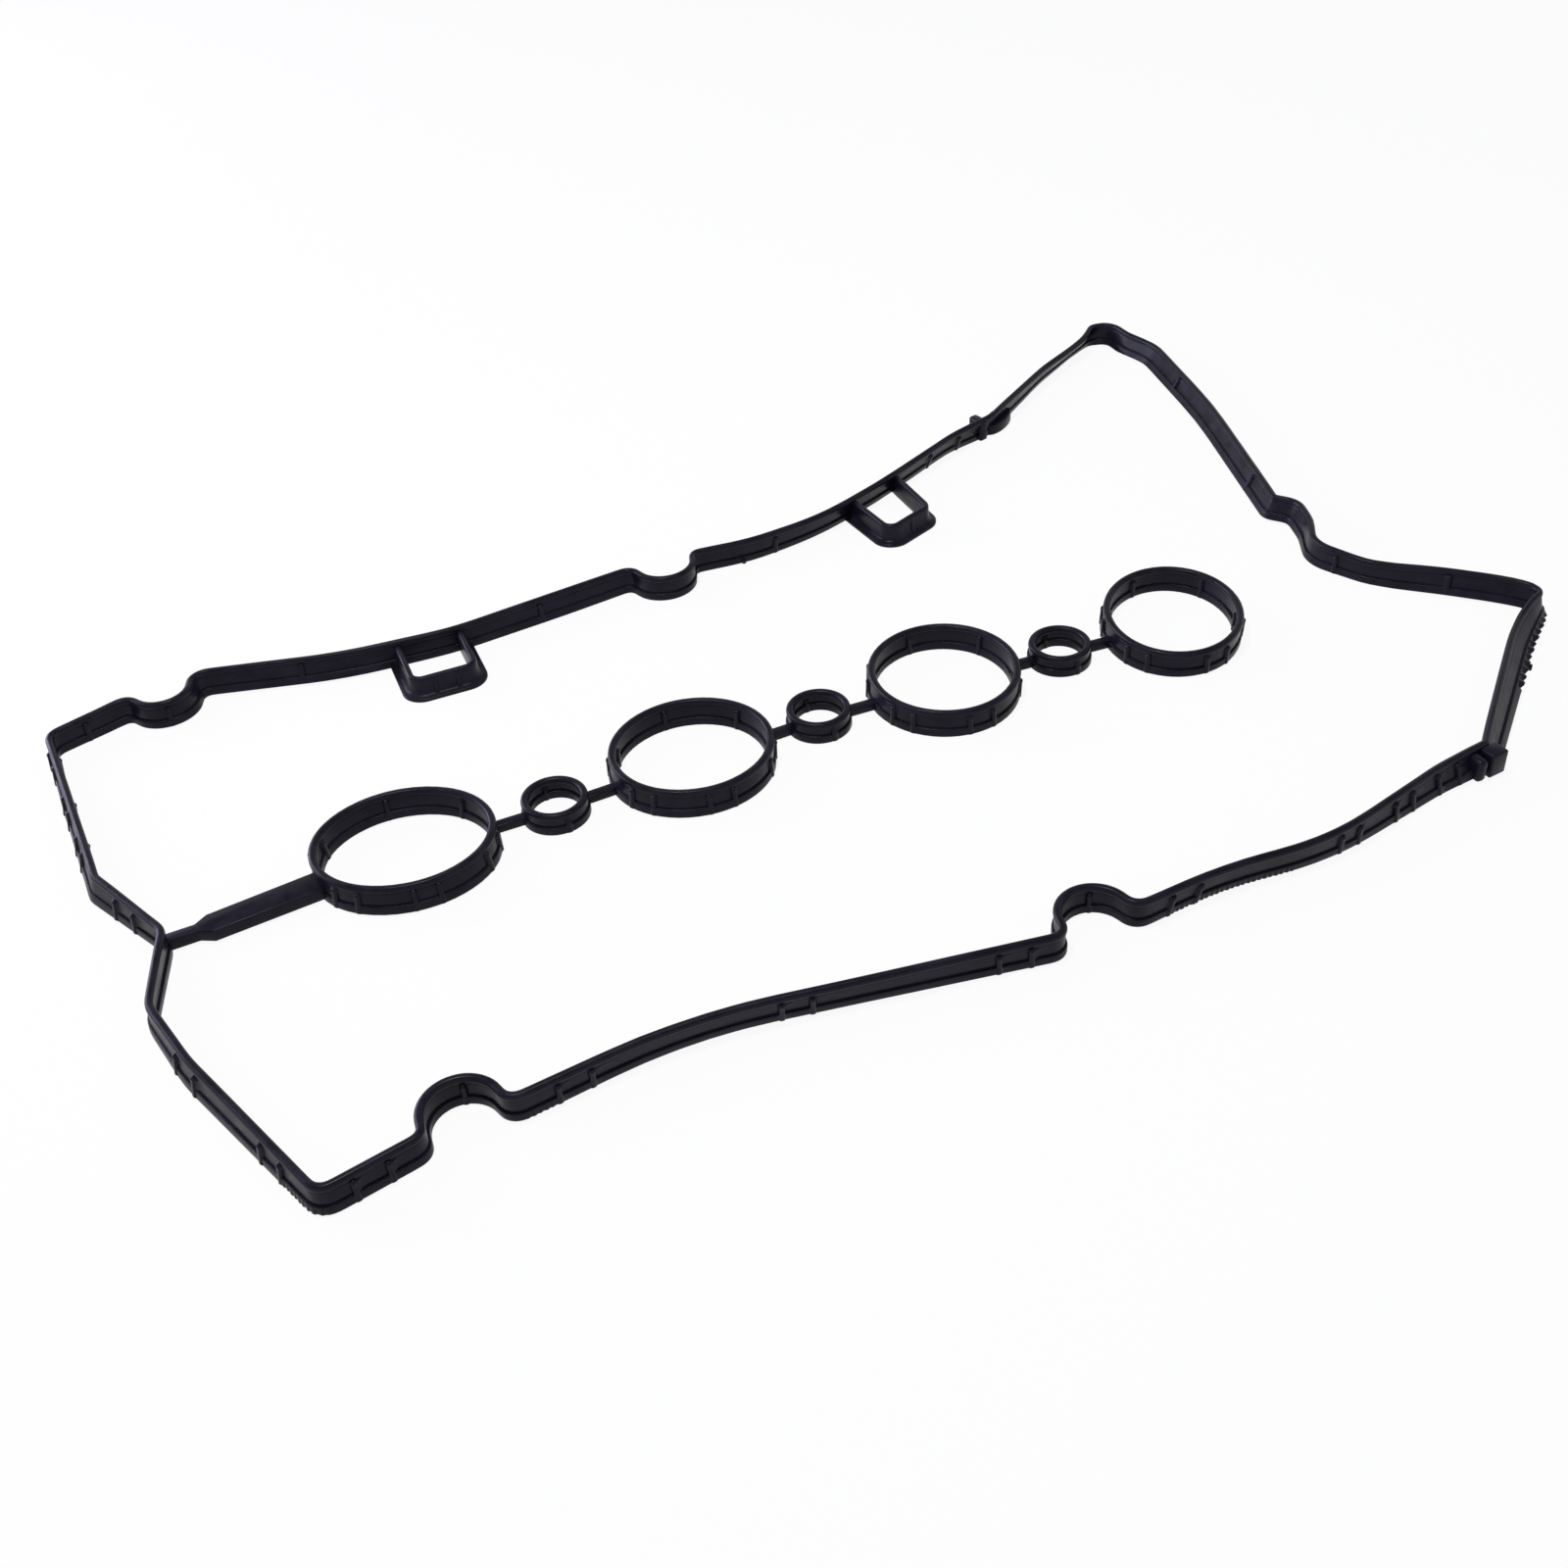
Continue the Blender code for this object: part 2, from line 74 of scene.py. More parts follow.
# Clockwise seen from above: plan point, bend radius, lean in degrees. A positive lean tips the top outwards.
# A notch has the points where its straight runs would enter and leave, and its centre between them.
ROUTE = (
    (CORNER, (-92.2, 103.2), 5, -5),
    (NOTCH, (-69.0, 110.8), (-54.4, 112.4), (-40.5, 114.2), 8),
    (CORNER, (3.0, 101.4), 90, 20),
    (CORNER, (40.0, 100.9), 160, 1),
    (CORNER, (80.0, 104.7), 200, 11),
    (NOTCH, (105.5, 109.1), (118.2, 107.8), (133.0, 109.8), -3),
    (CORNER, (151.0, 108.0), 60, -8),
    (CORNER, (178.0, 112.4), 110, -18),
    (CORNER, (206.0, 123.6), 250, -19),
    (CORNER, (248.0, 145.8), 50, -24),
    (CORNER, (269.0, 151.2), 16, -12),
    (CORNER, (306.2, 179.8), 100, -26),
    (CORNER, (328.9, 194.5), 80, -38),
    (CORNER, (339.0, 200.0), 30, -32),
    (CORNER, (351.8, 206.5), 7, 8),
    (CORNER, (349.9, 187.5), 12, 32),
    (CORNER, (353.6, 172.0), 20, 33),
    (CORNER, (344.5, 118.0), 300, 30),
    (CORNER, (325.0, 45.0), 4, 24),
    (CORNER, (331.0, 38.5), 5, 18),
    (CORNER, (328.0, 27.0), 16, 16),
    (CORNER, (321.5, 14.0), 12, 4),
    (CORNER, (331.0, -5.0), 24, -10),
    (CORNER, (353.0, -28.6), 60, 24),
    (CORNER, (367.0, -42.2), 5, 14),
    (CORNER, (368.8, -46.8), 4.6, -12),
    (CORNER, (361.0, -54.4), 40, -47),
    (CORNER, (348.4, -64.6), 90, -50),
    (CORNER, (301.8, -105.6), 5, -34),
    (CORNER, (280.0, -107.2), 60, -12),
    (CORNER, (234.0, -116.8), 100, 8),
    (CORNER, (202.0, -113.6), 110, 11),
    (NOTCH, (176.0, -117.0), (161.8, -115.2), (147.5, -118.6), -2),
    (CORNER, (94.0, -109.6), 300, 10),
    (CORNER, (50.0, -102.4), 140, 12),
    (NOTCH, (3.2, -110.0), (-10.6, -108.4), (-24.0, -113.4), -2),
    (CORNER, (-48.8, -119.4), 5, -5),
    (CORNER, (-71.8, -62.3), 60, -11),
    (CORNER, (-77.9, -37.0), 12, -5),
    (CORNER, (-70.0, -8.2), 6, 0),
    (CORNER, (-86.8, 23.0), 5, -16),
)
# Short upright grip ribs: single ones on the inner face, pairs on the outer face, and one in a notch. The
# third value of an outer rib is how far its head lies ahead of its foot, where the wall is sheared.
INNER_RIBS = (
    (-80, 106), (-54, 103), (-10, 106), (72, 105), (161, 108), (235, 140), (252, 147), (349, 144), (331, 64),
    (328, 6), (349, -24), (-89, 42), (-90, 64), (-92, 90),
)
OUTER_PAIRS = (
    ((287, -106, 0), (279, -108, 0)), ((268, -110, 0), (261, -112, 0)), ((246, -115, 0), (239, -116, 0)),
    ((192, -115, -1.3), (183, -116, -1.2)), ((141, -117, 0), (132, -116, 0)), ((82, -108, 0), (74, -107, 0)),
    ((22, -107, 0), (13, -109, 0)), ((-31, -115, 0), (-40, -117, 0)), ((-55, -105, 0), (-59, -97, 0)),
    ((-70, -67, 0), (-73, -57, 0)), ((-76, 4, 0), (-81, 12, 0)),
)
NOTCH_RIBS = ((165.3, -105), (-8, -98))
PAIR_GAP = 8.6
RIB_HALF = 0.95
RIB_REACH = 1.85
HEAD_OUT = 1.0
HEAD_RADIUS = 1.0
HEAD_HEIGHT = 5.95
# Where the trimmed edge of the foot shows small teeth: plan point in the middle, length along the wall, the
# teeth's pitch and how far they stand out.
TEETH = (
    ((-97, 70), 16, 1.7, 0.13), ((-52, -112), 18, 1.7, 0.15), ((8, -110), 10, 1.7, 0.12),
    ((204, -114), 42, 1.7, 0.13), ((350, -64), 50, 3.9, 0.60),
)
# How far apart the sections stand, in millimetres, and how far the wall turns from one to the next, in
# radians.
STRAIGHT_STEP, BEND_STEP, RIB_STEP, RIB_EDGE_STEP = 3.6, 0.6, 0.36, 0.18
STATION_TURN = 0.115
TOOTH_STATIONS = 6
# The way is first laid in fine steps of this many millimetres, and its plan and lean are smoothed over so
# many of them.
FINE = 0.25
PLAN_SPREAD, LEAN_SPREAD = 4, 24


def arc(centre, radius, start, end):
    """Points a few degrees apart on an arc, both ends included."""
    steps = max(2, int(abs(degrees(end - start)) / 4) + 1)
    return [centre + rect(radius, start + (end - start) * k / steps) for k in range(steps + 1)]


def unit(vector):
    return vector / abs(vector)


def fillet(before, at, after, radius):
    """A rounded corner between two straight runs."""
    along = unit(at - before)
    turn = phase((after - at) / along)
    start = at - along * radius * tan(abs(turn) / 2)
    centre = start + 1j * along * radius * (1 if turn > 0 else -1)
    first = phase(start - centre)
    return arc(centre, radius, first, first + turn)


def within_half_turn(angle, near):
    return near + (angle - near + pi) % (2 * pi) - pi


def shoulder(through, along, centre, leaving):
    """The small arc that leads from a straight run into a notch, or out of it."""
    base = through - 1j * along * SHOULDER_RADIUS - centre
    dot = (base.conjugate() * along).real
    root = sqrt(dot * dot - abs(base) ** 2 + (NOTCH_RADIUS + SHOULDER_RADIUS) ** 2)
    middle = centre + base + along * (root - dot if leaving else -root - dot)
    on_run = phase(1j * along)
    points = arc(middle, SHOULDER_RADIUS, on_run, within_half_turn(phase(centre - middle), on_run))
    return points[::-1] if leaving else points


def notch(before, entry, centre, leave, after):
    """The wall's way round a cover screw: shoulder, round, shoulder."""
    first = shoulder(entry, unit(entry - before), centre, False)
    last = shoulder(leave, unit(after - leave), centre, True)
    start = phase(first[-1] - centre)
    middle = within_half_turn(phase(-1j * unit(entry - before)), start)
    end = within_half_turn(phase(last[0] - centre), middle)
    return first + arc(centre, NOTCH_RADIUS, start, end)[1:-1] + last


def smoothed(values, spread):
    """Values on a closed way, each blended with its neighbours up to three spreads away."""
    reach = np.arange(-3 * spread, 3 * spread + 1)
    weights = np.exp(-0.5 * (reach / spread) ** 2)
    padded = np.concatenate([values[-3 * spread:], values, values[: 3 * spread]])
    return np.convolve(padded, weights / weights.sum(), "valid")


def even_way():
    """The wall's way in steps of about FINE: plan points, lean and whole length."""
    places = [[complex(*at) for at in row if isinstance(at, tuple)] for row in ROUTE]
    points, marks, leans = [], [], []
    for count, row in enumerate(ROUTE):
        behind, here, ahead = places[count - 1][-1], places[count], places[(count + 1) % len(places)][0]
        if row[0] == NOTCH:
            piece = notch(behind, *here, ahead)
        else:
            piece = fillet(behind, *here, ahead, row[2])
        marks.append(len(points) + (len(piece) - 1) / 2)
        leans.append(radians(row[-1]))
        points += piece
    points = np.array(points + points[:1])
    travelled = np.concatenate([[0], np.cumsum(abs(np.diff(points)))])
    total = travelled[-1]
    even = np.arange(0, total, total / round(total / FINE))
    plan = np.interp(even, travelled, points)
    lean = np.interp(even, np.interp(marks, range(len(points)), travelled), leans, period=total)
    plan = smoothed(plan, PLAN_SPREAD)
    return np.stack([plan.real, plan.imag], 1), smoothed(lean, LEAN_SPREAD), total


def nearest(way, at):
    return int(np.argmin(np.hypot(*(way - np.array(at)).T)))


def gap_between(s, mark, total):
    """Distance along a closed way, the short way round."""
    return abs((s - mark + total / 2) % total - total / 2)


def sampled(values, spots, total):
    """Values given evenly along a closed way, read off at these spots."""
    even = np.arange(len(values)) * total / len(values)
    return np.stack([np.interp(spots, even, column, period=total) for column in np.atleast_2d(values.T)], -1)


def stations(way, total, ribs, teeth=()):
    """Where the sections stand: close in bends, at ribs and along teeth, wide apart on straight runs."""
    s = np.arange(len(way)) * total / len(way)
    heading = (np.roll(way, -4, 0) - np.roll(way, 4, 0)) @ (1, 1j)
    bend = abs(np.angle(np.roll(heading, -6) / np.roll(heading, 6))) / (12 * total / len(way))
    room = np.clip(STATION_TURN / np.maximum(bend, 1e-4), BEND_STEP, STRAIGHT_STEP)
    for mark, _, slant in ribs:
        aside = gap_between(s, mark + slant / 2, total) - abs(slant) / 2
        room = np.where(aside < RIB_HALF + 0.25, np.minimum(room, RIB_STEP), room)
        room = np.where(abs(aside - RIB_HALF) < 0.3, np.minimum(room, RIB_EDGE_STEP), room)
    for mark, length, pitch, _ in teeth:
        toothed = gap_between(s, mark, total) < length / 2
        room = np.where(toothed, np.minimum(room, pitch / TOOTH_STATIONS), room)
    spent = np.concatenate([[0], np.cumsum(total / len(way) / room)])
    count = int(spent[-1])
    return np.interp(np.arange(count) * spent[-1] / count, spent, np.append(s, total))


def wall_skin(height):
    """Half of the wall's outline from the bottom up, as distance from its middle and height."""
    lift = height - WALL_HEIGHT
    return [
        (1.28, 0.0), (1.44, 0.06), (FOOT_HALF, 0.22), (FOOT_HALF, 0.7), (FOOT_HALF, 2.20),
        (1.46, 2.42), (1.36, 2.56), (1.20, 2.63), (1.00, 2.66), (0.82, 2.68), (0.77, 2.80), (0.80, 2.96),
        (0.88, 3.08), (0.90, 3.25), (0.90, 4.9), (0.90, 5.5), (0.90, 5.85), (0.90, 6.15), (0.90, 6.45),
        (0.89, 6.68), (0.82, 6.86 + lift), (0.84, 6.96 + lift), (1.04, 7.06 + lift), (1.16, 7.28 + lift),
        (1.21, 7.65 + lift), (1.19, 8.05 + lift), (1.08, 8.45 + lift), (0.88, 8.73 + lift),
        (0.60, 8.91 + lift), (0.30, 8.98 + lift), (0.0, 9.0 + lift),
    ]


def rib_reach(gap, rise, top):
    """How far a grip rib, a bar with a round head, stands out at this gap along the wall and this height."""
    side = np.clip(1 - (gap / RIB_HALF) ** 4, 0, 1) ** 0.25
    bar = np.where((rise > 0.1) & (rise <= top), RIB_REACH * side, 0)
    ball = HEAD_RADIUS**2 - gap**2 - (rise - top) ** 2
    return np.maximum(bar, np.where(ball > 0, HEAD_OUT + np.sqrt(np.maximum(ball, 0)), 0))


def laid_wall(name, plan, onward, lean, s, total, half, ribs, head, teeth=()):
    """A closed wall: its section set upright or leaning at each station, with ribs and teeth drawn out of it.

    A rib is its place along the way, its face (1 outer, -1 inner) and its slant. Teeth are their middle's
    place along the way, their length, pitch and reach, and stand on the outer edge of the foot.
    """
    outline = np.array(half + [(-x, z) for x, z in half[-2::-1]])
    across, rise = outline[:, 0], outline[:, 1]
    side = np.sign(across)
    reach = np.repeat(abs(across)[None], len(s), 0)
    for mark, face, slant in ribs:
        gap = gap_between(s[:, None], mark + slant * rise[None] / head, total)
        reach = np.where(side == face, np.maximum(reach, rib_reach(gap, rise[None], head)), reach)
    for mark, length, pitch, proud in teeth:
        gap = gap_between(s, mark, total)
        waves = np.sin(2 * pi * s / pitch) + 0.45 * np.sin(2 * pi * s / 2.3 / pitch + mark)
        bite = proud * np.tanh(2 * waves) * np.clip((length / 2 - gap) / 2, 0, 1)
        low = (rise < TEETH_TOP) & (side > 0)
        reach = reach + bite[:, None] * low[None]
    x = reach * side[None]
    out = np.stack([-onward[:, 1], onward[:, 0]], 1)
    tip = lean[:, None]
    plan_out = x * np.cos(tip) + rise[None] * np.sin(tip)
    up = rise[None] * np.cos(tip) - x * np.sin(tip) + FOOT_HALF * abs(np.sin(tip))
    spots = np.concatenate([plan[:, None] + out[:, None] * plan_out[..., None], up[..., None]], 2)
    spots[..., :2] += SHIFT
    rows, columns = len(s), len(across)
    number = np.arange(rows * columns).reshape(rows, columns)
    after = np.roll(number, -1, 0)
    quads = np.stack([number, after, np.roll(after, -1, 1), np.roll(number, -1, 1)], -1).reshape(-1, 4)
    mesh = bpy.data.meshes.new(name)
    mesh.from_pydata((spots * MM).reshape(-1, 3).tolist(), [], quads.tolist())
    piece = bpy.data.objects.new(name, mesh)
    bpy.context.scene.collection.objects.link(piece)
    return piece


def picked(piece):
    """Makes a piece the only one selected, and the active one."""
    bpy.ops.object.select_all(action="DESELECT")
    piece.select_set(True)
    bpy.context.view_layer.objects.active = piece


def smooth_faces_out(piece, angle=38):
    picked(piece)
    bpy.ops.object.mode_set(mode="EDIT")
    bpy.ops.mesh.select_all(action="SELECT")
    bpy.ops.mesh.normals_make_consistent(inside=False)
    bpy.ops.object.mode_set(mode="OBJECT")
    bpy.ops.object.shade_smooth_by_angle(angle=radians(angle))


class Socket:
    """An output of a material's nodes. Sums and products of it add Math nodes."""

    def __init__(self, tree, output):
        self.tree, self.output = tree, output

    def maths(self, operation, other):
        return node(self.tree, "ShaderNodeMath", {"operation": operation}, {0: self, 1: other})

    def __add__(self, other):
        return self.maths("ADD", other)

    def __mul__(self, other):
        return self.maths("MULTIPLY", other)

    __radd__, __rmul__ = __add__, __mul__


def node(tree, kind, settings, values, output=0):
    """Adds a node: its settings first, then the values or links of its sockets."""
    made = tree.nodes.new(kind)
    for key, value in settings.items():
        if key == "stops":
            for stop, (place, level) in zip(made.color_ramp.elements, value):
                stop.position, stop.color = place, (level, level, level, 1)
        else:
            setattr(made, key, value)
    for key, value in values.items():
        if isinstance(value, Socket):
            tree.links.new(value.output, made.inputs[key])
        else:
            made.inputs[key].default_value = value
    return Socket(tree, made.outputs[output])


def surface(tree, shader, kind="ShaderNodeOutputMaterial"):
    """Sends a shader to the material's or the world's output."""
    tree.links.new(shader.output, tree.nodes.new(kind).inputs["Surface"])


def moulded_rubber():
    """Black nitrile rubber: dark violet black, satin, with faint cloudy patches and a fine orange peel."""
    material = bpy.data.materials.new("moulded_rubber")
    material.use_nodes = True
    tree = material.node_tree
    tree.nodes.clear()
    place = node(tree, "ShaderNodeTexCoord", {}, {}, "Object")
    clouds, streaks, grain = (
        node(
            tree, "ShaderNodeTexNoise", {},
            {"Vector": place, "Scale": scale, "Detail": detail, "Roughness": fade},
        )
        for scale, detail, fade in ((140.0, 4.0, 0.55), (620.0, 3.0, 0.6), (2600.0, 2.0, 0.5))
    )
    patch = node(tree, "ShaderNodeValToRGB", {"stops": ((0.36, 0.0), (0.68, 1.0))}, {0: clouds})
    tone = node(
        tree, "ShaderNodeMix", {"data_type": "RGBA"},
        {0: patch * 0.7 + streaks * 0.3, 6: (0.0056, 0.0048, 0.0104, 1), 7: (0.0145, 0.0130, 0.0235, 1)}, 2,
    )
    rough = 0.235 + 0.15 * patch + 0.07 * grain
    peel = node(
        tree, "ShaderNodeBump", {},
        {"Strength": 0.22, "Distance": 0.00006, "Height": streaks * 0.6 + grain * 0.4},
    )
    skin = node(
        tree, "ShaderNodeBsdfPrincipled", {},
        {"Base Color": tone, "Roughness": rough, "Metallic": 0.0, "IOR": 1.21, "Normal": peel},
    )
    surface(tree, skin)
    return material


rubber = moulded_rubber()


def is_rubber(piece):
    """Gives a piece the rubber and its body, and hides the model's node that it stands for."""
    piece.data.materials.clear()
    piece.data.materials.append(rubber)
    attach(piece, "root")
    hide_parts("gasket")


way, lean, total = even_way()
onward = np.roll(way, -2, 0) - np.roll(way, 2, 0)
onward /= np.hypot(*onward.T)[:, None]


def mark_at(at):
    return nearest(way, at[:2]) * total / len(way)


ribs = [(mark_at(at), 1, 0) for at in NOTCH_RIBS]
for at in INNER_RIBS:
    mark = mark_at(at)
    ribs += [(mark, -1, 0), (mark - PAIR_GAP / 2, 1, 0), (mark + PAIR_GAP / 2, 1, 0)]
for first, second in OUTER_PAIRS:
    marks = mark_at(first), mark_at(second)
    ribs += [(marks[0], 1, first[2]), (marks[1], 1, second[2]), (sum(marks) / 2, -1, 0)]
teeth = [(mark_at(at), *rest) for at, *rest in TEETH]
spots = stations(way, total, ribs, teeth)
outer_wall = laid_wall(
    "outer_wall", sampled(way, spots, total), sampled(onward, spots, total),
    sampled(lean, spots, total)[:, 0], spots, total, wall_skin(WALL_HEIGHT), ribs, HEAD_HEIGHT, teeth,
)
smooth_faces_out(outer_wall)
is_rubber(outer_wall)

# Large rings
# Four round seals for the necks of the spark plug wells, with the same section as the outer wall and
# moulded with it. The slack rubber has pulled each of them oval and a little out of plumb.
RING_RADIUS = 23.4
RING_HEIGHT = 8.8
# Centre, then length and breadth as shares of a round ring's, the length's turn from the row in degrees, and
# how far the top lies from the foot.
LARGE_RINGS = (
    ((0.1, 0.0), (1.111, 0.936, -9), (-0.1, 1.5)),
    ((90.4, 3.5), (1.043, 0.979, -2), (0.6, 0.9)),
    ((176.6, 4.8), (0.983, 1.030, -10), (0.6, 0.2)),
    ((257.8, 0.1), (0.915, 1.085, -26), (0.3, -0.5)),
)
RING_INNER_RIBS = (151, 92, 32, -28, -88, -148)
RING_OUTER_RIBS = (162, 142, 102, 82, 42, 22, -16, -36, -78, -97, -138, -156)


def rim(radius, oval, angle):
    """How far the middle of a ring's wall lies from its centre in this direction, in radians."""
    length, breadth, turn = oval
    aside = angle - radians(turn)
    return radius / np.hypot(np.cos(aside) / length, np.sin(aside) / breadth)


def laid_ring(name, centre, radius, oval, tip, height, inner, outer, head):
    total = 2 * pi * radius
    angle = -np.arange(1440) * pi / 720
    circle = rim(radius, oval, angle)[:, None] * np.stack([np.cos(angle), np.sin(angle)], 1)
    plan = circle + np.array(centre) - np.array(tip) / 2
    onward = np.roll(circle, -1, 0) - np.roll(circle, 1, 0)
    onward /= np.hypot(*onward.T)[:, None]
    lean = np.arctan2(tip[1] * onward[:, 0] - tip[0] * onward[:, 1], height)
    faces = [(degree, -1) for degree in inner] + [(degree, 1) for degree in outer]
    ribs = [(-radians(degree) % (2 * pi) * radius, face, 0) for degree, face in faces]
    spots = stations(circle, total, ribs)
    return laid_wall(
        name, sampled(plan, spots, total), sampled(onward, spots, total), sampled(lean, spots, total)[:, 0],
        spots, total, wall_skin(height), ribs, head,
    )


for count, (centre, oval, tip) in enumerate(LARGE_RINGS, 1):
    ring = laid_ring(
        f"plug_ring_{count}", centre, RING_RADIUS, oval, tip, RING_HEIGHT, RING_INNER_RIBS, RING_OUTER_RIBS,
        HEAD_HEIGHT,
    )
    smooth_faces_out(ring)
    is_rubber(ring)

# Small rings
# Three lower seals between the large ones, each for a cover stud and its sleeve. Each has one short rib
# inside its back and one outside its front.
SMALL_RING_RADIUS = 8.9
SMALL_RING_HEIGHT = 7.0
SMALL_RINGS = ((45.8, 0.8), (133.6, 5.9), (217.3, 2.6))
SMALL_INNER_RIB, SMALL_OUTER_RIB, SMALL_HEAD_HEIGHT = 96, -84, 3.9
ROUND = (1, 1, 0)

for count, centre in enumerate(SMALL_RINGS, 1):
    ring = laid_ring(
        f"stud_ring_{count}", centre, SMALL_RING_RADIUS, ROUND, (0, 0), SMALL_RING_HEIGHT, (SMALL_INNER_RIB,),
        (SMALL_OUTER_RIB,), SMALL_HEAD_HEIGHT,
    )
    smooth_faces_out(ring)
    is_rubber(ring)

# Bridges between the rings
# Flat rubber straps near the foot that hold the seven rings in a row. They are moulded in one with the rings,
# and each runs from the middle of one ring's wall to the middle of the next.
BRIDGE_WIDTH = 3.0
BRIDGE_BOTTOM = 0.4
BRIDGE_TOP = 3.3
BRIDGE_EDGE = 0.35


def softened(piece, edge):
    """Rounds the edges as a mould leaves them."""
    picked(piece)
    bevel = piece.modifiers.new("Mould radius", "BEVEL")
    bevel.width, bevel.segments, bevel.limit_method = edge * MM, 3, "ANGLE"
    bevel.angle_limit = radians(30)
    bpy.ops.object.modifier_apply(modifier=bevel.name)
    bpy.ops.object.shade_smooth_by_angle(angle=radians(40))


def in_frame(x, y, z):
    """A plan point and a height in millimetres, as a point of the frame in metres."""
    return Vector((x + SHIFT[0], y + SHIFT[1], z)) * MM


def block(name, x, y, bottom, size, turn, edge):
    """A block of this length, breadth and height, turned about the upright, its place kept in its mesh."""
    bpy.ops.object.select_all(action="DESELECT")
    bpy.ops.mesh.primitive_cube_add(
        size=1, location=in_frame(x, y, bottom + size[2] / 2), rotation=(0, 0, turn), scale=Vector(size) * MM,
    )
    piece = bpy.context.object
    piece.name = name
    bpy.ops.object.transform_apply(location=True, rotation=True, scale=True)
    softened(piece, edge)
    return piece


def on_ring(centre, radius, oval, angle):
    """The middle of a ring's wall in this direction from its centre, as a plan point."""
    return complex(*centre) + rect(rim(radius, oval, angle), angle)


row = [(centre, RING_RADIUS, oval) for centre, oval, _ in LARGE_RINGS]
row = sorted(row + [(centre, SMALL_RING_RADIUS, ROUND) for centre in SMALL_RINGS])
for count, (left, right) in enumerate(zip(row, row[1:]), 1):
    towards = phase(complex(*right[0]) - complex(*left[0]))
    start, end = on_ring(*left, towards), on_ring(*right, towards + pi)
    middle = (start + end) / 2
    strap = block(
        f"bridge_{count}", middle.real, middle.imag, BRIDGE_BOTTOM,
        (abs(end - start), BRIDGE_WIDTH, BRIDGE_TOP - BRIDGE_BOTTOM), towards, BRIDGE_EDGE,
    )
    is_rubber(strap)

# Stem
# A thick flat arm that carries the row of rings from the dent in the left end of the wall. It widens
# towards the first ring.
STEM_BOTTOM = 0.4
STEM_TOP = 4.4
STEM_EDGE = 0.5
STEM_ARM = ((-57.2, -10.8), (-61.2, -8.7), (-70.4, -9.2), (-70.4, -5.6), (-61.6, -5.2), (-58.0, -2.6))
# Where its two edges meet the first ring, in degrees round that ring.
STEM_ON_RING = (175.6, 195.7)

ends = [
    on_ring(LARGE_RINGS[0][0], RING_RADIUS, LARGE_RINGS[0][1], radians(degree))
    for degree in STEM_ON_RING
]
outline = [*STEM_ARM, *((end.real, end.imag) for end in ends)]
bpy.ops.object.select_all(action="DESELECT")
bpy.ops.mesh.primitive_circle_add(vertices=len(outline), fill_type="NGON")
stem = bpy.context.object
stem.name = "stem"
for corner, at in zip(stem.data.vertices, outline[::-1]):
    corner.co = in_frame(*at, STEM_BOTTOM)
bpy.ops.object.mode_set(mode="EDIT")
bpy.ops.mesh.select_all(action="SELECT")
bpy.ops.mesh.extrude_region_move(TRANSFORM_OT_translate={"value": (0, 0, (STEM_TOP - STEM_BOTTOM) * MM)})
bpy.ops.mesh.select_all(action="SELECT")
bpy.ops.mesh.normals_make_consistent(inside=False)
bpy.ops.object.mode_set(mode="OBJECT")
bpy.ops.object.transform_apply(location=True, rotation=True, scale=True)
softened(stem, STEM_EDGE)
is_rubber(stem)

# Loops under the back wall
# Two lower walls that leave the back wall, round a port between cover and head, and return. A broad thin
# flange runs round their outer foot.
LOOP_RADIUS = 3.6
LOOP_STEP = 0.2
LOOP_RIB_HALF = 0.8
LOOP_RIB_REACH = 0.45
# Plan points of the corners from wall to wall, then of the low ribs on the outer face.
LOOPS = (
    (((21.6, 101.2), (21.6, 79.4), (42.8, 79.4), (42.8, 101.2)), ((28.5, 79.4), (36.0, 79.4))),
    (((195.8, 118.4), (199.2, 92.6), (218.2, 100.8), (217.4, 128.4)), ((209.0, 97.0),)),
)
# The section, from the flange's foot over the top to the inner foot: distance outwards and height.
LOOP_SKIN = (
    (3.50, 0.0), (3.70, 0.08), (3.76, 0.28), (3.75, 0.85), (3.64, 1.10), (3.35, 1.22), (2.6, 1.34),
    (2.0, 1.55), (1.6, 1.9), (1.34, 2.4), (1.20, 3.1), (1.15, 4.6), (1.12, 5.2), (1.10, 6.4), (1.02, 7.0),
    (0.84, 7.38), (0.5, 7.58), (0.0, 7.6), (-0.5, 7.58), (-0.84, 7.38), (-1.02, 7.0), (-1.10, 6.4),
    (-1.15, 2.0), (-1.15, 0.25), (-1.0, 0.0),
)

